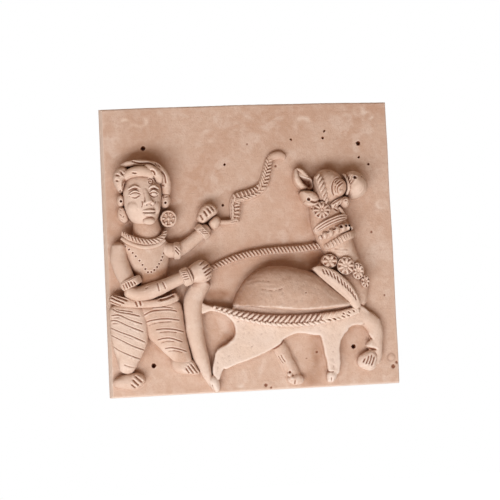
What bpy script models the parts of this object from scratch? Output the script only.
# Terracotta wall plaque: a herder leads a camel by its rein, in high relief on a hand-cut slab.
# Metres, +Z up. The wall is the plane y = 0 and the relief stands towards -Y.
# Each lump, roll, strip and disc of clay is its own object. They are laid in making order, and
# each one is hollowed where it rests on the ones laid before it.

import math

import bmesh
import bpy
import numpy as np
from mathutils import Vector
from mathutils.bvhtree import BVHTree

# Slab
SLAB_WIDTH = 0.300
SLAB_HEIGHT = 0.297
SLAB_THICK = 0.012
SLAB_EDGE = 0.0012  # softened front edge
FLARE_LEFT = 0.003  # how far the back edge stands out past the front one
FLARE_TOP = 0.0015
FLARE_RIGHT = 0.001
FLARE_BOTTOM = 0.001
TOP_BOW = 0.0015  # rise of the top edge towards the middle
HOLE_DIA = 0.0042
HOLE_INSET_X = 0.0415
HOLE_INSET_Z = 0.0415
HOLE_SHIFT = ((0.2, 0.0), (9.7, -1.4), (1.8, -10.8), (-6.2, -1.2))  # pierced by eye, in plan squares

# Fit
SLIP = 0.0003  # gap between two pieces that touch
GRID_X = 300  # the drawing's squares across the slab; plan points count them from its centre
GRID_Z = 297  # and up it, so that the whole drawing keeps to the slab's size
FOOT = 0.0003  # gap between a piece and the slab's face

# Camel
FLANK_LIFT = 0.009
LEG_WIDTH = 0.0150
LEG_LIFT = 0.0095
FAR_LEG_LIFT = 0.0045
FOOT_LIFT = 0.0115
TAIL_WIDTH = 0.0190
TAIL_LIFT = 0.0145
HUMP_LIFT = 0.033
CHEST_LIFT = 0.013
NECK_WIDTH = 0.0350
NECK_LIFT = 0.0225
MUZZLE_LIFT = 0.031
NOSTRIL_DIA = 0.0024
CAMEL_HEAD_LIFT = 0.028
EAR_LIFT = 0.0150
EAR_HOLLOW = 0.0056
CHIN_LIFT = 0.027

# Camel's harness
GIRTH_WIDTH = 0.0120
GIRTH_LIFT = 0.0060
SHOULDER_WIDTH = 0.0132
SHOULDER_LIFT = 0.0105
PLAIT_PITCH = 0.0060
BAND_WIDTH = 0.0068
BAND_LIFT = 0.0035
BROW_WIDTH = 0.0064
BROW_LIFT = 0.0032
STRAP_WIDTH = 0.0052
PELLET_PITCH = 0.0068
REIN_WIDTH = 0.0068
REIN_LIFT = 0.0075
NOTCH_PITCH = 0.0046
ROSETTE_DIA = 0.0160
BIG_ROSETTE_DIA = 0.0176
ROSETTE_LIFT = 0.0050

# Herder
HERDER_HEAD_LIFT = 0.030
NECK_DEPTH = 0.019
HERDER_NECK_WIDTH = 0.030
TORSO_LIFT = 0.018
TURBAN_ROLL = 0.0104
TURBAN_LIFT = 0.030
BUN_LIFT = 0.026
EARLOBE_LIFT = 0.016
EARLOBE_HOLE = 0.0022
EARRING_LIFT = 0.0135
EARRING_DIA = 0.0170
COLLAR_TWIST = 0.0066
COLLAR_ROLL = 0.0048
COLLAR_LIFT = 0.0040
ARM_WIDTH = 0.0162
ARM_LIFT = 0.020
FOREARM_LIFT = 0.0275
FOREARM_GAP = 0.010  # height of the forearm's underside, where it crosses open ground
FAR_ARM_LIFT = 0.0135
BANGLE_WIDTH = 0.0078
BANGLE_LIFT = 0.0030
NEAR_FIST_LIFT = 0.0285
FAR_FIST_LIFT = 0.0170
THUMB_LIFT = 0.0155
SASH_WIDTH = 0.0100
SASH_LIFT = 0.0185
DHOTI_LIFT = 0.0150
HERDER_FOOT_LIFT = 0.0120
PLEAT_WIDTH = 0.0034
PLEAT_DEPTH = 0.0015
FINGER_WIDTH = 0.0024
FINGER_DEPTH = 0.0020
WHIP_WIDTH = 0.0106
WHIP_LIFT = 0.0070
HANDLE_WIDTH = 0.0050

# Hand
STRIP_RIM = 0.35  # share of a laid strip's lift that stands straight before it rounds over
ROLL_RIM = 0.55  # the same for a roll that is pressed on from the slab up
STRIP_STIFFNESS = 0.4  # share of its width by which a strip bridges a step below it
SHEET_BEVEL = 0.25  # share of a cut sheet's lift that its rounded edge takes
NOTCH_DEPTH = 0.16  # share of a strip's lift that a notch takes

# Mesh
PATH_ROWS = 160  # places at which the path of a roll is read
CAP_TURNS = (35, 68)  # degrees round a roll's end at which it has a ring
PLAIN_FACET = 0.8  # length of a plain roll's facets, as a share of its width
FLAT_ANGLE = 1.0  # degrees between facets that are joined into one
SHARP_ANGLE = 40.0  # degrees from which an edge is shaded sharp
MAX_GROWTH = 1.6  # most that a sharp corner of a print moves out, in slips
CRUMB = SLIP / 150  # edges shorter than this are closed up

CLAY = (0.62, 0.41, 0.31)  # linear colour of the fired clay
ROUGH = 0.9

pieces = {}


def plan(x, z):
    """Place on the slab of a point of the drawing."""
    return x * SLAB_WIDTH / GRID_X, z * SLAB_HEIGHT / GRID_Z


def smooth(points, count, closed=False):
    """count rows spaced evenly along a Catmull-Rom curve through the points."""
    rows = np.array(points, float)
    if closed:
        rows = np.vstack([rows[-1:], rows, rows[:2]])
    else:
        rows = np.vstack([2 * rows[0] - rows[1], rows, 2 * rows[-1] - rows[-2]])
    t = np.linspace(0, 1, 16, endpoint=False)[:, None]
    dense = []
    for a, b, c, d in zip(rows, rows[1:], rows[2:], rows[3:]):
        bend = 2 * a - 5 * b + 4 * c - d
        twist = 3 * b - a - 3 * c + d
        dense.append(b + 0.5 * ((c - a) * t + bend * t**2 + twist * t**3))
    dense = np.vstack(dense + [rows[-2:-1]])
    steps = np.hypot(*np.diff(dense[:, :2], axis=0).T)
    run = np.concatenate([[0], np.cumsum(steps)])
    wanted = np.linspace(0, run[-1], count, endpoint=not closed)
    return np.column_stack([np.interp(wanted, run, column) for column in dense.T])


def face_point(x, z, height):
    """A plan point at a height over the slab's face."""
    return Vector((x, -SLAB_THICK - height, z))


def mesh_of(name, rings, ends):
    """Closed mesh from rings of points, each bridged to the next. ends holds the two tips."""
    bm = bmesh.new()
    rows = [[bm.verts.new(point) for point in ring] for ring in rings]
    for low, high in zip(rows, rows[1:]):
        for i in range(len(low)):
            j = (i + 1) % len(low)
            bm.faces.new((low[i], low[j], high[j], high[i]))
    for row, tip in ((rows[0], ends[0]), (rows[-1], ends[1])):
        if tip is None:
            bm.faces.new(row)
            continue
        apex = bm.verts.new(tip)
        for i in range(len(row)):
            bm.faces.new((row[i], row[(i + 1) % len(row)], apex))
    bmesh.ops.recalc_face_normals(bm, faces=bm.faces)
    bmesh.ops.triangulate(bm, faces=bm.faces)
    mesh = bpy.data.meshes.new(name)
    bm.to_mesh(mesh)
    bm.free()
    return mesh


def ground(x, z, on):
    """Height of the topmost of the named pieces at a plan point."""
    best = 0.0
    for name in on:
        hit = pieces[name]["tree"].ray_cast(Vector((x, -1, z)), Vector((0, 1, 0)))[0]
        if hit:
            best = max(best, -hit.y - SLAB_THICK)
    return best


def roll_mesh(
    name,
    path,
    width,
    lift,
    on=(),
    rim=0.0,
    under=0.0,
    pitch=0.0,
    shear="",
    depth=NOTCH_DEPTH,
    pinch=0.0,
    sides=6,
):
    """A roll or strip of clay along path rows of (x, z, relative size), flat below and round above.
    Its sides stand straight up to the share rim of its lift. It follows the pieces that it lies on.
    pitch notches it across by the share depth: shear "v" slants both sides back like a plait,
    "slant" like a rope. pinch narrows it between beads."""
    line = smooth([(*plan(x, z), size) for x, z, size in path], PATH_ROWS)
    tangent = np.gradient(line[:, :2], axis=0)
    tangent /= np.hypot(*tangent.T)[:, None]
    steps = np.hypot(*np.diff(line[:, :2], axis=0).T)
    run = np.concatenate([[0], np.cumsum(steps)])
    length = run[-1]
    table = np.column_stack([line, tangent])
    low = max(FOOT, under)
    rim = rim or (STRIP_RIM if on else 0.0)
    reach = STRIP_STIFFNESS * width

    def at(s):
        return [np.interp(s, run, column) for column in table.T]

    def ring(s, notch, squeeze=1.0, past=0.0):
        points = []
        fade = min(1.0, max(0.0, min(s, length - s) / width))
        slant = {"v": -1.0, "slant": 0.6}.get(shear, 0.0) * width / 2 * fade
        for k in range(sides + 1):
            turn = math.pi * k / sides
            u = math.cos(turn)
            x, z, size, tx, tz = at(s + slant * (abs(u) if shear == "v" else u))
            across = u * width / 2 * size * squeeze
            x, z = x - tz * across + tx * past, z + tx * across + tz * past
            crest = (rim + (1 - rim) * math.sin(turn)) * (1 - notch * math.sin(turn))
            rise = (lift - under) * min(size, 1) * (0.4 + 0.6 * squeeze) * crest
            floor = max(ground(x + step * tx, z + step * tz, on) for step in (-reach, 0, reach))
            points.append(face_point(x, z, low + floor + rise))
            if rim and k in (0, sides):
                points.insert(len(points) - (k == 0), face_point(x, z, low))
        return points

    if pitch:
        count = 2 * round(length / pitch)
    else:
        count = max(3, round(length / (PLAIN_FACET * width)))
    rings = []
    tips = []
    for sign in (-1, 1):
        end = length * (1 + sign) / 2
        x, z, size, tx, tz = at(end)
        half = sign * size * width / 2
        turns = [math.radians(turn) for turn in CAP_TURNS]
        caps = [ring(end, 0, math.cos(turn), half * math.sin(turn)) for turn in turns]
        tips.append(face_point(x + tx * half, z + tz * half, low))
        rings += caps[::-1] if sign < 0 else caps
        if sign < 0:
            for i in range(count + 1):
                notched = pitch and i % 2
                rings.append(ring(i * length / count, depth * notched, 1 - pinch * notched))
    return mesh_of(name, rings, tips)


def mound_mesh(name, outline, crown, lift, rim, on=(), levels=3, points=18):
    """A domed lump over an outline. crown is the plan point of its top, and its side stands straight
    up to the share rim of its lift."""
    edge = smooth([plan(x, z) for x, z in outline], points, closed=True)
    centre = np.array(plan(*crown))
    base = ground(*centre, on)
    top = base + lift
    side = base + rim * lift

    def ring(scale, height):
        ring_points = []
        for p in edge:
            x, z = centre + (p - centre) * scale
            ring_points.append(face_point(x, z, height))
        return ring_points

    rings = [ring(1, FOOT), ring(1, side)]
    for i in range(1, levels + 1):
        turn = math.pi / 2 * i / (levels + 1)
        rings.append(ring(math.cos(turn), side + (top - side) * math.sin(turn)))
    return mesh_of(name, rings, (None, face_point(*centre, top)))


def sheet_mesh(name, outline, lift, points):
    """A flat-faced sheet cut to an outline, with its front edge bevelled."""
    bevel = SHEET_BEVEL * lift
    edge = smooth([plan(x, z) for x, z in outline], points, closed=True)
    along = np.roll(edge, -1, axis=0) - np.roll(edge, 1, axis=0)
    along /= np.hypot(*along.T)[:, None]
    turn = np.sign(np.cross(edge - edge.mean(axis=0), along).sum())
    inward = turn * np.column_stack([-along[:, 1], along[:, 0]])
    inner = edge + inward * bevel
    rings = [
        [face_point(x, z, FOOT) for x, z in edge],
        [face_point(x, z, lift - bevel) for x, z in edge],
        [face_point(x, z, lift) for x, z in inner],
    ]
    return mesh_of(name, rings, (None, None))


def groove_mesh(name, path, width, depth, on):
    """A V-shaped cutter that follows the surface of a piece and runs out at both ends."""
    line = smooth([plan(x, z) for x, z in path], 2 + 2 * len(path))
    tangent = np.gradient(line, axis=0)
    tangent /= np.hypot(*tangent.T)[:, None]
    rings = []
    for i, ((x, z), (tx, tz)) in enumerate(zip(line, tangent)):
        share = math.sin(math.pi * (i + 0.5) / len(line)) ** 0.5
        half = width / 2 * share
        sides = [(x - tz * half * side, z + tx * half * side) for side in (-1, 1)]
        ring = [face_point(*side, ground(*side, on) + depth / 2) for side in sides]
        rings.append([*ring, face_point(x, z, ground(x, z, on) - depth * share)])
    return mesh_of(name, rings, (None, None))


def rosette_mesh(name, centre, diameter, lift, on=(), petals=8):
    """A stamped disc, a ring of petals round a raised boss, that leans with the ground below it."""
    cx, cz = plan(*centre)
    turns = [math.pi * i / petals for i in range(2 * petals)]
    probe = [(0.35 * diameter * math.cos(turn), 0.35 * diameter * math.sin(turn)) for turn in turns]
    levels = np.array([ground(cx + x, cz + z, on) for x, z in probe])
    lean = np.linalg.lstsq(np.column_stack([probe, np.ones(len(probe))]), levels, rcond=None)[0]

    def point(radius, turn, level):
        x, z = radius * math.cos(turn), radius * math.sin(turn)
        plane = lean[0] * x + lean[1] * z + lean[2]
        floor = max(plane + lift * level, ground(cx + x, cz + z, on) + 0.3 * lift * (1 + level))
        return face_point(cx + x, cz + z, FOOT + floor)

    rows = (  # share of the radius, level, extra level of a petal, depth of the scallops
        (1.00, 0.20, 0.00, 0.05),
        (0.94, 0.45, 0.25, 0.05),
        (0.66, 0.45, 0.45, 0.00),
        (0.36, 0.30, 0.00, 0.00),
        (0.30, 0.80, 0.00, 0.00),
    )
    rings = []
    for share, level, crest, scallop in rows:
        ring = []
        for i, turn in enumerate(turns):
            between = i % 2
            radius = diameter / 2 * share * (1 - scallop * between)
            ring.append(point(radius, turn, level + crest * (1 - between)))
        rings.append(ring)
    foot = [Vector((rim.x, -SLAB_THICK - FOOT, rim.z)) for rim in rings[0]]
    return mesh_of(name, [foot, *rings], (None, point(0, 0, 1)))


def slab_mesh(name):
    """The slab: its back outline stands out past the front one, and its top edge bows up."""
    side = 6

    def outline(left, top, right, bottom, bow):
        corners = [
            (-SLAB_WIDTH / 2 - left, -SLAB_HEIGHT / 2 - bottom),
            (SLAB_WIDTH / 2 + right, -SLAB_HEIGHT / 2 - bottom),
            (SLAB_WIDTH / 2 + right, SLAB_HEIGHT / 2 + top),
            (-SLAB_WIDTH / 2 - left, SLAB_HEIGHT / 2 + top),
        ]
        points = []
        for i, (start, end) in enumerate(zip(corners, corners[1:] + corners[:1])):
            for k in range(side):
                share = k / side
                lift = bow * math.sin(math.pi * share) if i == 2 else 0.0
                x = start[0] + (end[0] - start[0]) * share
                z = start[1] + (end[1] - start[1]) * share
                points.append((x, z + lift))
        return points

    back = outline(FLARE_LEFT, FLARE_TOP, FLARE_RIGHT, FLARE_BOTTOM, TOP_BOW)
    front = outline(0, 0, 0, 0, TOP_BOW)
    soft = outline(-SLAB_EDGE, -SLAB_EDGE, -SLAB_EDGE, -SLAB_EDGE, TOP_BOW)
    rings = [
        [Vector((x, 0, z)) for x, z in back],
        [Vector((x, -SLAB_THICK + SLAB_EDGE, z)) for x, z in front],
        [Vector((x, -SLAB_THICK, z)) for x, z in soft],
    ]
    return mesh_of(name, rings, (None, None))


def clay_material(name):
    """Fired clay, a little different from piece to piece as it is in the kiln."""
    material = bpy.data.materials.new(name + "_clay")
    material.use_nodes = True
    shade = 1 + 0.03 * math.sin(7.0 * len(pieces))
    surface = material.node_tree.nodes["Principled BSDF"]
    surface.inputs["Base Color"].default_value = (*(shade * c for c in CLAY), 1)
    surface.inputs["Roughness"].default_value = ROUGH
    surface.inputs["Metallic"].default_value = 0
    return material


def helper(name, mesh):
    """A cutter: never rendered and drawn as wire."""
    obj = bpy.data.objects.new(name, mesh)
    bpy.context.scene.collection.objects.link(obj)
    obj.hide_render = True
    obj.display_type = "WIRE"
    return obj


def print_of(name, mesh):
    """The piece grown by the slip, as it prints itself into a piece laid over it."""
    bm = bmesh.new()
    bm.from_mesh(mesh)
    bm.normal_update()
    moves = [(v, v.co + v.normal * SLIP * min(v.calc_shell_factor(), MAX_GROWTH)) for v in bm.verts]
    for v, place in moves:
        v.co = place
    grown = bpy.data.meshes.new(name + "_print")
    bm.to_mesh(grown)
    bm.free()
    return helper(name + "_print", grown)


def peg(name, x, z, diameter, low, high, sides=12):
    """A round cutter square to the slab, from height low to height high."""
    rings = []
    for height in (low, high):
        ring = []
        for k in range(sides):
            turn = 2 * math.pi * k / sides
            radius = diameter / 2
            ring.append(face_point(x + radius * math.cos(turn), z + radius * math.sin(turn), height))
        rings.append(ring)
    return helper(name, mesh_of(name, rings, (None, None)))


def drop_crumbs(bm):
    """Keeps the lump of a mesh with the largest surface."""
    lumps = []
    left = set(bm.verts)
    while left:
        seed = left.pop()
        lump = {seed}
        edge = [seed]
        while edge:
            vert = edge.pop()
            for link in vert.link_edges:
                other = link.other_vert(vert)
                if other in left:
                    left.remove(other)
                    lump.add(other)
                    edge.append(other)
        lumps.append(lump)
    lumps.sort(key=lambda lump: -sum(f.calc_area() for f in {f for v in lump for f in v.link_faces}))
    for lump in lumps[1:]:
        bmesh.ops.delete(bm, geom=list(lump), context="VERTS")


def apply_cuts(obj, cutters, operation="DIFFERENCE"):
    """Cuts the object's mesh with the cutters, or joins them to it, and cleans the result."""
    for cutter in cutters:
        modifier = obj.modifiers.new(cutter.name, "BOOLEAN")
        modifier.operation = operation
        modifier.object = cutter
        modifier.solver = "EXACT"
        modifier.use_self = True
    bpy.context.view_layer.update()
    graph = bpy.context.evaluated_depsgraph_get()
    mesh = bpy.data.meshes.new_from_object(obj.evaluated_get(graph))
    obj.modifiers.clear()
    bm = bmesh.new()
    bm.from_mesh(mesh)
    bmesh.ops.dissolve_degenerate(bm, dist=CRUMB, edges=bm.edges)
    bmesh.ops.dissolve_limit(bm, angle_limit=math.radians(FLAT_ANGLE), verts=bm.verts, edges=bm.edges)
    drop_crumbs(bm)
    bmesh.ops.triangulate(bm, faces=bm.faces)
    bm.to_mesh(mesh)
    bm.free()
    obj.data = mesh


def dress(obj):
    """Names the mesh, gives it its clay and shades it."""
    obj.data.name = obj.name
    obj.data.materials.clear()
    obj.data.materials.append(clay_material(obj.name))
    obj.data.shade_smooth()
    obj.data.set_sharp_from_angle(angle=math.radians(SHARP_ANGLE))
    obj.parent = plaque


def box_of(mesh):
    points = np.empty(3 * len(mesh.vertices))
    mesh.vertices.foreach_get("co", points)
    points = points.reshape(-1, 3)
    return points.min(axis=0), points.max(axis=0)


def lay(name, mesh, pierced=(), more=(), plain=None):
    """Lays a piece on the ones before it. more holds meshes that are fused with it, plain is the
    shape that it prints into later pieces, where that is simpler than its own."""
    obj = bpy.data.objects.new(name, mesh)
    bpy.context.scene.collection.objects.link(obj)
    if more:
        apply_cuts(obj, [helper(f"{name}_{i}", extra) for i, extra in enumerate(more)], "UNION")
    whole = obj.data
    outer = plain or whole
    low, high = box_of(whole)
    cutters = list(pierced)
    for other in pieces.values():
        if (low < other["high"] + SLIP).all() and (high > other["low"] - SLIP).all():
            cutters.append(other["print"])
    outer_low, outer_high = box_of(outer)
    triangles = [tuple(f.vertices) for f in outer.polygons]
    pieces[name] = {
        "low": outer_low,
        "high": outer_high,
        "print": print_of(name, outer),
        "tree": BVHTree.FromPolygons([v.co for v in outer.vertices], triangles),
    }
    if cutters:
        apply_cuts(obj, cutters)
    dress(obj)


def roll(name, path, width, lift, **shape):
    """A roll. A notched one prints itself into later pieces as if it had no notches."""
    mesh = roll_mesh(name, path, width, lift, **shape)
    whole = {**shape, "depth": 0, "pinch": 0}
    lay(name, mesh, plain=roll_mesh(name + "_whole", path, width, lift, **whole))


def mound(name, outline, crown, lift, rim, pierced=(), **shape):
    lay(name, mound_mesh(name, outline, crown, lift, rim, **shape), pierced)


def carve(name, paths, width, depth):
    """Cuts grooves into a piece that is already laid."""
    cutters = []
    for path in paths:
        cutters.append(helper(f"{name}_groove", groove_mesh("groove", path, width, depth, (name,))))
    apply_cuts(bpy.data.objects[name], cutters)
    dress(bpy.data.objects[name])


def ellipse(cx, cz, rx, rz, tilt=0.0, points=10):
    """Outline points of an ellipse turned by tilt degrees."""
    c, s = math.cos(math.radians(tilt)), math.sin(math.radians(tilt))
    outline = []
    for k in range(points):
        turn = 2 * math.pi * k / points
        x, z = rx * math.cos(turn), rz * math.sin(turn)
        outline.append((cx + x * c - z * s, cz + x * s + z * c))
    return outline


def make_slab():
    obj = bpy.data.objects.new("backing_slab", slab_mesh("backing_slab"))
    bpy.context.scene.collection.objects.link(obj)
    pegs = []
    for i, (right, up) in enumerate(((0, 1), (1, 1), (0, 0), (1, 0))):
        aside, above = plan(*HOLE_SHIFT[i])
        x = (2 * right - 1) * (SLAB_WIDTH / 2 - HOLE_INSET_X) + aside
        z = (2 * up - 1) * (SLAB_HEIGHT / 2 - HOLE_INSET_Z) + above
        pegs.append(peg(f"hole_{i + 1}", x, z, HOLE_DIA, -2 * SLAB_THICK, SLAB_THICK))
    apply_cuts(obj, pegs)
    dress(obj)


def camel_legs():
    far_leg = [(20, -103, 1.05), (27, -114, 1.05), (34, -126, 1.0), (39, -135, 0.95)]
    far_foot = [(31, -137), (36, -133), (44, -134), (48, -139), (45, -144), (37, -144.5), (31.5, -141)]
    lay(
        "camel_far_hind_leg",
        roll_mesh("far_leg", far_leg, LEG_WIDTH, FAR_LEG_LIFT),
        more=[mound_mesh("far_foot", far_foot, (39, -139), 0.6 * FOOT_LIFT, 0.33, levels=2, points=12)],
    )
    tail = [
        (-53, -34, 0.95),
        (-59, -43, 1.0),
        (-63.5, -54, 1.03),
        (-64.3, -68, 0.98),
        (-63, -84, 0.95),
        (-60.8, -99, 0.92),
        (-57.5, -112, 0.84),
        (-54.5, -123, 0.62),
        (-51.5, -133, 0.4),
        (-47.5, -141, 0.25),
    ]
    roll("camel_tail", tail, TAIL_WIDTH, TAIL_LIFT)
    rump = [
        (-60, -53.5),
        (-52, -56.5),
        (-44, -59.5),
        (-36, -61.5),
        (-27, -64),
        (-18, -67),
        (-18, -77),
        (-24, -77),
        (-30, -70.5),
        (-39, -66),
        (-47, -64.5),
        (-54, -66.5),
        (-60, -66),
    ]
    lay("camel_rump", sheet_mesh("camel_rump", rump, FLANK_LIFT, points=26))
    flank = [
        (-18, -66),
        (10, -69),
        (45, -71),
        (80, -69),
        (104, -66),
        (114, -68),
        (118, -76),
        (113, -85),
        (103, -86),
        (97, -88),
        (91, -95),
        (80, -97),
        (67, -95),
        (52, -92),
        (42, -91.5),
        (32, -95),
        (24, -102),
        (8, -109.5),
        (-10, -116.5),
        (-30, -122),
        (-38, -120),
        (-44, -113),
        (-42, -105),
        (-33, -99.5),
        (-25, -94),
        (-22, -87),
        (-23, -79),
        (-24, -72),
    ]
    lay("camel_flank", sheet_mesh("camel_flank", flank, FLANK_LIFT, points=46))
    hind_leg = [
        (-44, -108),
        (-46.5, -117),
        (-47, -125),
        (-46, -132),
        (-41, -135),
        (-38, -130),
        (-35, -124.5),
        (-28, -121),
        (-30, -112),
    ]
    hind_foot = [
        (-52, -135),
        (-47, -130.5),
        (-41.5, -134),
        (-39.5, -140),
        (-41, -147),
        (-46, -146.5),
        (-50, -141),
    ]
    lay(
        "camel_hind_leg",
        sheet_mesh("hind_leg", hind_leg, LEG_LIFT, points=16),
        more=[mound_mesh("hind_foot", hind_foot, (-45.5, -138.5), FOOT_LIFT, 0.4, levels=2, points=12)],
    )
    fore_leg = [
        (67, -92),
        (69, -105),
        (71, -120),
        (72.5, -131),
        (75, -138),
        (81, -139),
        (85, -131),
        (86.3, -118),
        (87, -105),
        (91, -96),
        (90, -89),
        (78, -87),
    ]
    fore_foot = [(71, -137.5), (73.5, -133), (79, -133), (81, -138), (79, -142.5), (75, -144), (72, -142)]
    lay(
        "camel_fore_leg",
        sheet_mesh("fore_leg", fore_leg, LEG_LIFT, points=22),
        more=[mound_mesh("fore_foot", fore_foot, (76, -138), FOOT_LIFT, 0.4, levels=2, points=12)],
    )
    raised = [
        (106, -77, 0.95),
        (115, -79, 1.1),
        (122.5, -86, 1.12),
        (125.3, -96, 1.0),
        (126, -105, 0.82),
        (126.5, -112, 0.7),
    ]
    roll("camel_raised_leg", raised, LEG_WIDTH, 1.15 * LEG_LIFT)
    shin = [(126.5, -113, 0.66), (126.5, -119, 0.6), (124, -125, 0.6)]
    hoof = [
        (106, -124),
        (107, -129),
        (112, -132),
        (118, -133.5),
        (123, -131),
        (125, -125),
        (124, -117),
        (119, -113.5),
        (113, -115.5),
        (108, -119),
    ]
    knee = [(114.5, -107.5), (118, -103), (124, -102), (128, -107), (126, -113), (118, -111.5)]
    lay(
        "camel_raised_foot",
        mound_mesh("raised_foot", hoof, (116, -123), FOOT_LIFT, 0.4, levels=2, points=16),
        more=[
            roll_mesh("shin", shin, LEG_WIDTH, 1.1 * LEG_LIFT),
            mound_mesh("knee", knee, (121, -107), LEG_LIFT, 0.4, levels=2, points=12),
        ],
    )
    toes = [[(121, -119), (116, -127)], [(113.5, -119), (111, -126)]]
    carve("camel_raised_foot", toes, FINGER_WIDTH, FINGER_DEPTH)


def camel_body():
    hump = [
        (-23, -60.5),
        (-21, -52),
        (-16, -43),
        (-9, -34),
        (0, -27),
        (10, -22.5),
        (20, -21),
        (32, -21.5),
        (45, -24.5),
        (57, -28),
        (67, -34),
        (77, -42.5),
        (87, -51.5),
        (94, -58.5),
        (99.5, -66),
        (85, -71),
        (65, -73),
        (40, -73.5),
        (15, -72.5),
        (-5, -69),
        (-18, -64.5),
    ]
    mound("camel_hump", hump, (36, -51), HUMP_LIFT, 0.35, levels=4, points=28)
    chest = [
        (67, -27),
        (72, -17),
        (80, -11),
        (92, -12),
        (104, -20),
        (114, -32),
        (119.5, -43),
        (119, -54),
        (114, -65),
        (106, -68),
        (97, -60),
        (85, -46),
        (74, -36),
    ]
    mound("camel_chest", chest, (96, -36), CHEST_LIFT, 0.35, points=22)
    neck = [
        (77, 46, 0.8),
        (78, 34, 0.92),
        (81, 22, 1.0),
        (85, 10, 1.0),
        (89.5, -1, 0.9),
        (94.5, -11, 0.76),
        (100, -21, 0.66),
        (105.5, -30, 0.58),
    ]
    roll("camel_neck", neck, NECK_WIDTH, NECK_LIFT, sides=8)


def camel_face():
    head = [
        (66, 56),
        (66, 65),
        (69, 72),
        (75, 76.5),
        (82, 76.8),
        (89, 74),
        (95, 69),
        (98.5, 62),
        (99.3, 54),
        (96.5, 48),
        (89, 43.5),
        (81, 39.5),
        (73, 39),
        (67.5, 43),
        (66, 50),
    ]
    eye = (90, 57.5)
    lids = ellipse(*eye, 7.4, 8.6, points=8)
    lay(
        "camel_head",
        mound_mesh("skull", head, (84, 58), CAMEL_HEAD_LIFT, 0.4, points=22),
        more=[mound_mesh("eye", lids, eye, 1.06 * CAMEL_HEAD_LIFT, 0.81, levels=1, points=12)],
    )
    muzzle = [
        (99, 70),
        (103.5, 73),
        (109, 73.5),
        (114, 70.5),
        (118, 65.5),
        (120.6, 59),
        (119.8, 53),
        (116, 49.5),
        (110, 47.4),
        (104, 47),
        (99, 48.5),
        (99.8, 55),
        (100.3, 62),
    ]
    nostril = peg("nostril", *plan(106.5, 65.5), NOSTRIL_DIA, 0.75 * MUZZLE_LIFT, 2 * MUZZLE_LIFT, 8)
    mound("camel_muzzle", muzzle, (109.5, 60), MUZZLE_LIFT, 0.45, [nostril])
    rear_ear = [
        (50, 79.5),
        (55.5, 75.5),
        (61, 70.5),
        (65, 67),
        (65, 60),
        (58, 57.5),
        (53, 61),
        (49.7, 68),
        (48.8, 74),
    ]
    mound("camel_rear_ear", rear_ear, (57, 67), EAR_LIFT, 0.5, levels=2)
    carve("camel_rear_ear", [[(52, 76), (56, 69), (61.5, 62)]], EAR_HOLLOW, 0.4 * EAR_HOLLOW)
    front_ear = [
        (51, 53.5),
        (57, 55),
        (63, 54),
        (68, 50.5),
        (69.5, 46),
        (67, 42.3),
        (61, 40.8),
        (56, 42),
        (52.5, 46),
        (51, 50),
    ]
    mound("camel_front_ear", front_ear, (60, 48), 1.5 * EAR_LIFT, 0.67, levels=2)
    carve("camel_front_ear", [[(53.5, 48), (58, 45.5), (63, 46.5)]], EAR_HOLLOW, 0.5 * EAR_HOLLOW)
    chin = (97, 42.3)
    mound("camel_chin_pellet", ellipse(*chin, 5.2, 5.6), chin, CHIN_LIFT, 0.5, points=14)
    brow = [(69.8, 68, 0.95), (71.6, 61, 1.0), (73.7, 54, 1.0), (76, 47.5, 0.95), (77.5, 43.5, 0.85)]
    roll(
        "camel_brow_band",
        brow,
        BROW_WIDTH,
        BROW_LIFT,
        on=("camel_head",),
        pitch=NOTCH_PITCH,
        shear="slant",
        sides=4,
    )
    strap = [(82, 37.3, 0.9), (87, 40.6, 1.0), (92, 44, 1.0), (95, 46.5, 0.9)]
    roll("camel_jaw_strap", strap, STRAP_WIDTH, 0.9 * CHIN_LIFT, sides=5)


def neck_bands():
    upper = [(66.5, 14.5, 0.9), (73.5, 18, 1.05), (81.5, 21.3, 1.1), (89.5, 24.2, 1.05), (96.5, 25.7, 0.9)]
    roll("camel_neck_band", upper, BAND_WIDTH, BAND_LIFT, on=("camel_neck",), sides=5)
    pellets = [(72.2, 7.5, 0.95), (79, 9.8, 1.05), (86, 12.4, 1.1), (93.5, 14.7, 1.05), (100.5, 15.3, 0.9)]
    roll(
        "camel_pellet_band",
        pellets,
        1.15 * BAND_WIDTH,
        1.3 * BAND_LIFT,
        on=("camel_neck",),
        pitch=PELLET_PITCH,
        pinch=0.35,
        sides=4,
    )
    loop = [(76.5, -2.3, 0.9), (84, 0.6, 1.0), (92, 4.4, 1.0), (99.5, 7.3, 1.0), (105.5, 8.3, 0.95)]
    roll(
        "camel_rein_loop",
        loop,
        BAND_WIDTH,
        BAND_LIFT,
        on=("camel_neck",),
        pitch=NOTCH_PITCH,
        shear="slant",
        sides=4,
    )
    rein = [
        (-41, -19.6, 0.85),
        (-31, -15, 0.95),
        (-18, -10.7, 0.97),
        (-2, -7.2, 1.0),
        (15, -5.2, 1.0),
        (32, -4.4, 1.03),
        (50, -3.8, 1.03),
        (64, -2.3, 1.03),
        (72, -1.9, 1.0),
    ]
    roll("rein", rein, REIN_WIDTH, REIN_LIFT, pitch=NOTCH_PITCH, shear="slant", sides=4)


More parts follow.
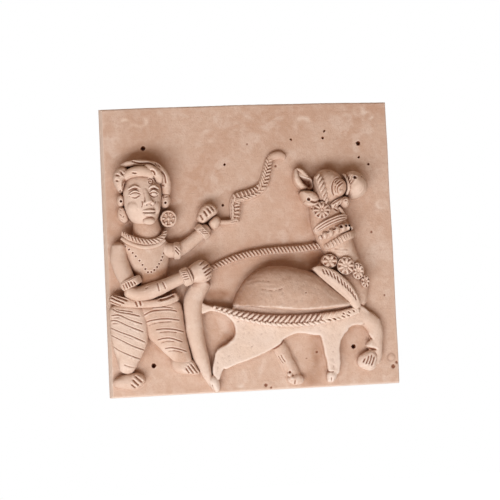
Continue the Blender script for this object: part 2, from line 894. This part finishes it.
def camel_trappings():
    girth = [
        (-38, -62.5, 0.5),
        (-30, -65.5, 0.68),
        (-20, -69, 0.8),
        (-8, -72.8, 0.86),
        (5, -75.5, 0.92),
        (20, -77.5, 1.0),
        (38, -78.3, 1.03),
        (55, -77.8, 1.0),
        (70, -76.6, 0.92),
        (84, -75, 0.82),
        (97, -72.5, 0.76),
        (107, -69.5, 0.66),
    ]
    roll(
        "camel_girth_braid",
        girth,
        GIRTH_WIDTH,
        GIRTH_LIFT,
        on=("camel_rump", "camel_flank"),
        pitch=PLAIT_PITCH,
        shear="v",
        sides=4,
    )
    shoulder = [
        (66, -27, 0.6),
        (71.5, -30.5, 0.88),
        (78, -35, 1.0),
        (85.5, -41, 1.02),
        (92.5, -47.5, 1.0),
        (98.8, -54.5, 0.9),
        (104, -61, 0.74),
        (107.5, -66, 0.56),
    ]
    roll(
        "camel_shoulder_braid",
        shoulder,
        SHOULDER_WIDTH,
        SHOULDER_LIFT,
        on=("camel_chest",),
        pitch=PLAIT_PITCH,
        shear="v",
        sides=4,
    )
    breast = ("camel_chest", "camel_neck")
    rosettes = (
        ("camel_cheek_rosette", (70.6, 34), ROSETTE_DIA, ("camel_neck",)),
        ("chest_rosette_1", (77.6, -18.8), ROSETTE_DIA, breast),
        ("chest_rosette_2", (94, -23.6), BIG_ROSETTE_DIA, breast),
        ("chest_rosette_3", (107.4, -30.6), ROSETTE_DIA, breast),
        ("chest_rosette_4", (114.6, -40.4), 0.78 * ROSETTE_DIA, breast),
    )
    for name, centre, diameter, on in rosettes:
        lay(name, rosette_mesh(name, centre, diameter, ROSETTE_LIFT, on))


def dhoti_and_feet():
    left = [
        (-149, -57),
        (-149.5, -70),
        (-149.3, -84),
        (-147, -98),
        (-143.5, -110),
        (-141, -121),
        (-134, -125),
        (-127.5, -122.5),
        (-121.5, -113),
        (-115.5, -102),
        (-111.5, -92),
        (-111.5, -76),
        (-114, -62),
        (-120, -54),
        (-135, -51),
    ]
    mound("dhoti_left_leg", left, (-131, -84), DHOTI_LIFT, 0.4, levels=2, points=24)
    right = [
        (-119, -56),
        (-114.5, -74),
        (-111, -89),
        (-103.5, -96.5),
        (-96, -104),
        (-90, -110),
        (-85, -115),
        (-76, -118.5),
        (-68.5, -116),
        (-69.5, -104),
        (-72, -90),
        (-73.8, -75),
        (-75, -62),
        (-80, -53),
        (-98, -50),
    ]
    mound("dhoti_right_leg", right, (-92, -80), DHOTI_LIFT, 0.4, levels=2, points=24)
    near_pleats = [
        [(-148, -57), (-141, -60.5), (-128, -63.5), (-118, -66)],
        [(-149, -64), (-140, -64.5), (-130, -69), (-117, -74)],
        [(-149, -70), (-142, -70), (-130, -76), (-116, -82)],
        [(-149, -76), (-140, -81), (-128, -86.5), (-114, -93)],
        [(-148.5, -84), (-138, -90), (-128, -95.5), (-116, -101)],
        [(-147, -95.5), (-140, -100.5), (-130, -105.5), (-120, -110)],
    ]
    carve("dhoti_left_leg", near_pleats, PLEAT_WIDTH, PLEAT_DEPTH)
    far_pleats = [
        [(-116, -66), (-108, -62.3), (-98, -61), (-81, -63)],
        [(-114, -73.5), (-107, -71), (-98, -70), (-79, -72)],
        [(-104, -80.5), (-95, -80), (-85, -81), (-75, -84)],
        [(-102, -91), (-95, -89.7), (-87, -90), (-76, -94)],
        [(-95, -100), (-88, -99.5), (-80, -101.5), (-73, -104)],
    ]
    carve("dhoti_right_leg", far_pleats, PLEAT_WIDTH, PLEAT_DEPTH)
    left_foot = [
        (-148.5, -131),
        (-143, -127),
        (-134, -123.5),
        (-124, -123.5),
        (-117.5, -127),
        (-116, -133),
        (-120, -138),
        (-127, -140.5),
        (-138, -139.5),
        (-147, -136.5),
    ]
    mound("left_foot", left_foot, (-132, -132), HERDER_FOOT_LIFT, 0.3, levels=2)
    right_foot = [
        (-88, -113),
        (-88.5, -120),
        (-84, -125),
        (-75, -127.5),
        (-66, -129),
        (-60.5, -127.5),
        (-62, -121),
        (-67, -114),
        (-76, -110),
    ]
    mound("right_foot", right_foot, (-75, -120), HERDER_FOOT_LIFT, 0.3, levels=2)
    left_toes = [
        [(-131, -134), (-126.5, -138.5)],
        [(-129.5, -130), (-122.5, -136)],
        [(-127, -127), (-119, -133)],
    ]
    carve("left_foot", left_toes, FINGER_WIDTH, FINGER_DEPTH)
    right_toes = [[(-74, -119), (-67, -127)], [(-71, -117), (-63, -126)]]
    carve("right_foot", right_toes, FINGER_WIDTH, FINGER_DEPTH)


def herder_body():
    torso = [
        (-137, 9),
        (-131.5, -6),
        (-126, -20),
        (-119.5, -34),
        (-117.5, -50),
        (-104, -54),
        (-92, -50),
        (-90, -34),
        (-88, -16),
        (-86, -2),
        (-87, 9),
        (-98, 13.5),
        (-112, 14),
        (-127, 15),
    ]
    mound("herder_torso", torso, (-109, -12), TORSO_LIFT, 0.45, points=22)
    neck = [(-108, 12, 1.0), (-108, 24, 1.0), (-110, 32, 0.9)]
    roll("herder_neck", neck, HERDER_NECK_WIDTH, NECK_DEPTH)


def calm_face():
    """A plain folk face turned to the right: a pinched nose, two lidded eyes and a lower lip."""
    nose = [
        (-110.8, 62),
        (-108.3, 62),
        (-104.8, 55),
        (-100.8, 47),
        (-101, 43.6),
        (-105, 42.8),
        (-109.4, 44.5),
        (-109, 53),
    ]
    near_eye = (-118, 57)
    far_eye = (-98.6, 57)
    lip = (-106.6, 36.4)
    features = (  # outline, crown, lift and rim
        ("nose", nose, (-104.6, 47), 1.13, 0.75),
        ("near_eye", ellipse(*near_eye, 6.2, 4.2), near_eye, 1.05, 0.81),
        ("far_eye", ellipse(*far_eye, 4.2, 3.9), far_eye, 0.93, 0.65),
        ("lip", ellipse(*lip, 5.4, 2.3), lip, 0.96, 0.78),
    )
    meshes = []
    for name, outline, crown, lift, rim in features:
        meshes.append(mound_mesh(name, outline, crown, lift * HERDER_HEAD_LIFT, rim, levels=1, points=10))
    return meshes


def herder_head():
    head = [
        (-130, 68),
        (-131, 55),
        (-129.3, 43),
        (-125, 33),
        (-116, 27),
        (-106, 25.8),
        (-99.5, 29.5),
        (-96, 38),
        (-94, 49),
        (-93, 61),
        (-93, 73),
        (-99, 83),
        (-109, 88),
        (-120, 87),
        (-128, 79),
    ]
    lay(
        "herder_head",
        mound_mesh("face", head, (-112, 55), HERDER_HEAD_LIFT, 0.4, levels=4, points=22),
        more=calm_face(),
    )
    for name, cx, cz, rx, rz, hole_z in (
        ("left_ear", -133.7, 53, 4.2, 6.2, 51.5),
        ("right_ear", -88, 51, 5.6, 7.8, 48.3),
    ):
        hole = peg(name + "_hole", *plan(cx, hole_z), EARLOBE_HOLE, -SLAB_THICK / 2, 2 * EARLOBE_LIFT, 8)
        mound(name, ellipse(cx, cz, rx, rz), (cx, cz), EARLOBE_LIFT, 0.5, [hole], levels=2, points=14)
    drop = [
        (-135.3, 45.3),
        (-137.5, 38),
        (-135, 32),
        (-130.5, 29.5),
        (-127.2, 31.5),
        (-127.8, 38),
        (-130.8, 45),
    ]
    mound("left_drop_earring", drop, (-132, 37), EARRING_LIFT, 0.5, levels=2, points=16)
    lay("right_disc_earring", rosette_mesh("right_disc_earring", (-85.5, 32), EARRING_DIA, EARRING_LIFT, ()))


def turban():
    bun = [
        (-140.5, 72),
        (-140.3, 79),
        (-136, 85),
        (-130, 86.5),
        (-126, 83),
        (-125.5, 75),
        (-128, 69),
        (-130.5, 62),
        (-134, 60),
        (-138, 64),
    ]
    mound("turban_bun", bun, (-133.5, 75), BUN_LIFT, 0.5, points=16)
    back = [
        (-131, 87.5, 0.5),
        (-124, 89.3, 0.6),
        (-115, 90, 0.64),
        (-106, 89.3, 0.66),
        (-98, 86.8, 0.7),
        (-91.5, 82, 0.75),
        (-87.7, 75, 0.76),
        (-85.8, 67, 0.68),
        (-85.5, 60.5, 0.6),
    ]
    roll("turban_back_roll", back, TURBAN_ROLL, 0.8 * TURBAN_LIFT, rim=ROLL_RIM)
    front = [
        (-127, 76.3, 0.8),
        (-121, 79.6, 0.95),
        (-113, 80.4, 1.0),
        (-105.5, 78.6, 0.95),
        (-100.3, 75.6, 0.75),
    ]
    roll("turban_front_roll", front, TURBAN_ROLL, 1.08 * TURBAN_LIFT, rim=ROLL_RIM)
    side = [(-107, 85.8, 0.56), (-101.5, 83.2, 0.64), (-97, 79.2, 0.72), (-94.3, 74, 0.74), (-93.8, 69, 0.64)]
    roll("turban_side_roll", side, TURBAN_ROLL, TURBAN_LIFT, rim=ROLL_RIM)


def collar_and_sash():
    over = ("herder_torso", "herder_neck")
    smooth_roll = [
        (-134, 13.6, 0.9),
        (-128, 9.4, 1.0),
        (-120, 5.3, 1.0),
        (-112, 3.2, 1.0),
        (-104, 3.5, 1.0),
        (-97, 5.8, 1.0),
        (-91.5, 10, 0.9),
    ]
    roll("collar_roll", smooth_roll, COLLAR_ROLL, 0.8 * COLLAR_LIFT, on=over, sides=4)
    twist = [
        (-131.5, 18.6, 0.8),
        (-127, 14.6, 0.95),
        (-120, 10.8, 1.0),
        (-112, 8.8, 1.0),
        (-104, 8.6, 1.0),
        (-97, 10.6, 0.95),
        (-92, 14.6, 0.8),
    ]
    roll("collar_twist", twist, COLLAR_TWIST, COLLAR_LIFT, on=over, pitch=NOTCH_PITCH, shear="slant", sides=4)
    sash = [
        (-145.5, -47.3, 0.95),
        (-138, -50.3, 1.0),
        (-128, -52.5, 0.92),
        (-114, -53.8, 0.8),
        (-100, -53.4, 0.82),
        (-90, -51, 0.95),
        (-81.5, -48.5, 0.95),
    ]
    roll("waist_sash", sash, SASH_WIDTH, SASH_LIFT, rim=ROLL_RIM)
    folds = [[(-146, -45.5), (-130, -51.5)], [(-143, -50.5), (-131, -54.5)], [(-99, -51), (-83, -46.5)]]
    carve("waist_sash", folds, 0.7 * PLEAT_WIDTH, PLEAT_DEPTH)


def near_arm():
    upper = [(-137, 6, 0.95), (-139.5, -6, 1.0), (-137.3, -18, 0.92), (-132, -29, 0.88), (-129, -36, 0.85)]
    roll("near_upper_arm", upper, ARM_WIDTH, ARM_LIFT)
    fore = [
        (-128, -41, 0.84),
        (-120, -43.4, 0.95),
        (-108, -41.6, 1.0),
        (-96, -37.6, 0.9),
        (-84, -32.8, 0.78),
        (-75, -29.4, 0.72),
    ]
    roll("near_forearm", fore, ARM_WIDTH, FOREARM_LIFT, under=FOREARM_GAP)
    band = [(-133.6, -35.8, 0.9), (-129.5, -33.7, 1.0), (-124.5, -31.5, 1.0), (-119, -29.6, 0.9)]
    top = ARM_LIFT + BANGLE_LIFT
    roll("near_armband", band, 0.9 * BANGLE_WIDTH, top, rim=ROLL_RIM, pitch=NOTCH_PITCH, sides=5)
    bracelet = [(-68.2, -33.8, 0.9), (-70, -28.5, 1.0), (-72.5, -22.8, 0.9)]
    top = FOREARM_LIFT + 0.5 * BANGLE_LIFT
    roll("near_bracelet", bracelet, BANGLE_WIDTH, top, under=FOREARM_GAP, rim=ROLL_RIM)
    fist = [
        (-68, -22),
        (-62, -15),
        (-55, -11.5),
        (-48.5, -14.5),
        (-45, -20),
        (-43.5, -27),
        (-46.5, -32),
        (-53, -34.5),
        (-61, -34),
        (-65.5, -32),
    ]
    mound("near_fist", fist, (-55.5, -23.5), NEAR_FIST_LIFT, 0.65, points=16)
    fingers = [
        [(-57, -17.5), (-49.5, -13)],
        [(-54, -21.5), (-45, -17)],
        [(-53, -26), (-44, -21.5)],
        [(-52, -30), (-44, -27)],
    ]
    carve("near_fist", fingers, FINGER_WIDTH, FINGER_DEPTH)


def far_arm():
    arm = [
        (-88, 0, 0.92),
        (-79, -0.5, 0.9),
        (-70, 3, 0.84),
        (-61, 9.5, 0.8),
        (-52, 16.5, 0.77),
        (-47.5, 20.3, 0.7),
    ]
    roll("far_arm", arm, ARM_WIDTH, FAR_ARM_LIFT)
    top = FAR_ARM_LIFT + BANGLE_LIFT
    band = [(-78.6, -7.6, 0.9), (-78.6, -0.7, 1.0), (-78.6, 6.3, 0.9)]
    roll("far_armband", band, 0.92 * BANGLE_WIDTH, top, rim=ROLL_RIM)
    bracelet = [(-46.8, 12, 0.9), (-51.8, 17.6, 1.0), (-57, 23.2, 0.9)]
    roll("far_bracelet", bracelet, BANGLE_WIDTH, top, rim=ROLL_RIM)
    fist = [
        (-56, 31),
        (-54.5, 38),
        (-50, 44),
        (-44, 46),
        (-38, 44),
        (-34.8, 39),
        (-36, 35.2),
        (-40.5, 32),
        (-46, 28.5),
        (-51.5, 26.2),
    ]
    mound("far_fist", fist, (-45.5, 37), FAR_FIST_LIFT, 0.55, points=16)
    fingers = [[(-54, 36), (-49.5, 28.5)], [(-50, 41), (-45.5, 32.5)], [(-45, 44), (-41, 35.5)]]
    carve("far_fist", fingers, FINGER_WIDTH, FINGER_DEPTH)
    thumb = [
        (-44.5, 26.5),
        (-41, 31),
        (-36.5, 33.2),
        (-33, 31),
        (-32, 26.5),
        (-34.5, 22),
        (-39, 19.5),
        (-43, 22.5),
    ]
    mound("far_thumb", thumb, (-38.3, 26.5), THUMB_LIFT, 0.5, levels=2, points=14)
    handle = [(-35, 27, 0.9), (-27, 26.6, 0.95), (-21, 27, 1.1)]
    roll("whip_handle", handle, HANDLE_WIDTH, 1.2 * WHIP_LIFT)
    lash = [
        (-17.5, 28.5, 0.75),
        (-15.3, 35, 1.0),
        (-15.8, 43, 1.03),
        (-14.5, 49, 1.03),
        (-9, 53, 1.0),
        (-1, 55.5, 0.98),
        (6.5, 58.5, 0.95),
        (12.5, 63, 0.95),
        (16.3, 69.5, 0.95),
        (18.5, 77, 0.9),
        (20, 84, 0.8),
        (22.5, 90.5, 0.74),
    ]
    tip = [(21.5, 89, 0.74), (25, 93.5, 0.8), (30, 95.6, 0.85), (35, 95, 0.74)]
    lay(
        "whip_lash",
        roll_mesh("lash", lash, WHIP_WIDTH, WHIP_LIFT, pitch=PLAIT_PITCH, shear="v", sides=4),
        more=[roll_mesh("lash_tip", tip, WHIP_WIDTH, 0.9 * WHIP_LIFT, sides=6)],
    )


for stale in list(bpy.data.objects):
    bpy.data.objects.remove(stale)
plaque = bpy.data.objects.new("plaque", None)
bpy.context.scene.collection.objects.link(plaque)

make_slab()
camel_legs()
camel_body()
camel_face()
neck_bands()
camel_trappings()
dhoti_and_feet()
herder_body()
herder_head()
turban()
collar_and_sash()
near_arm()
far_arm()
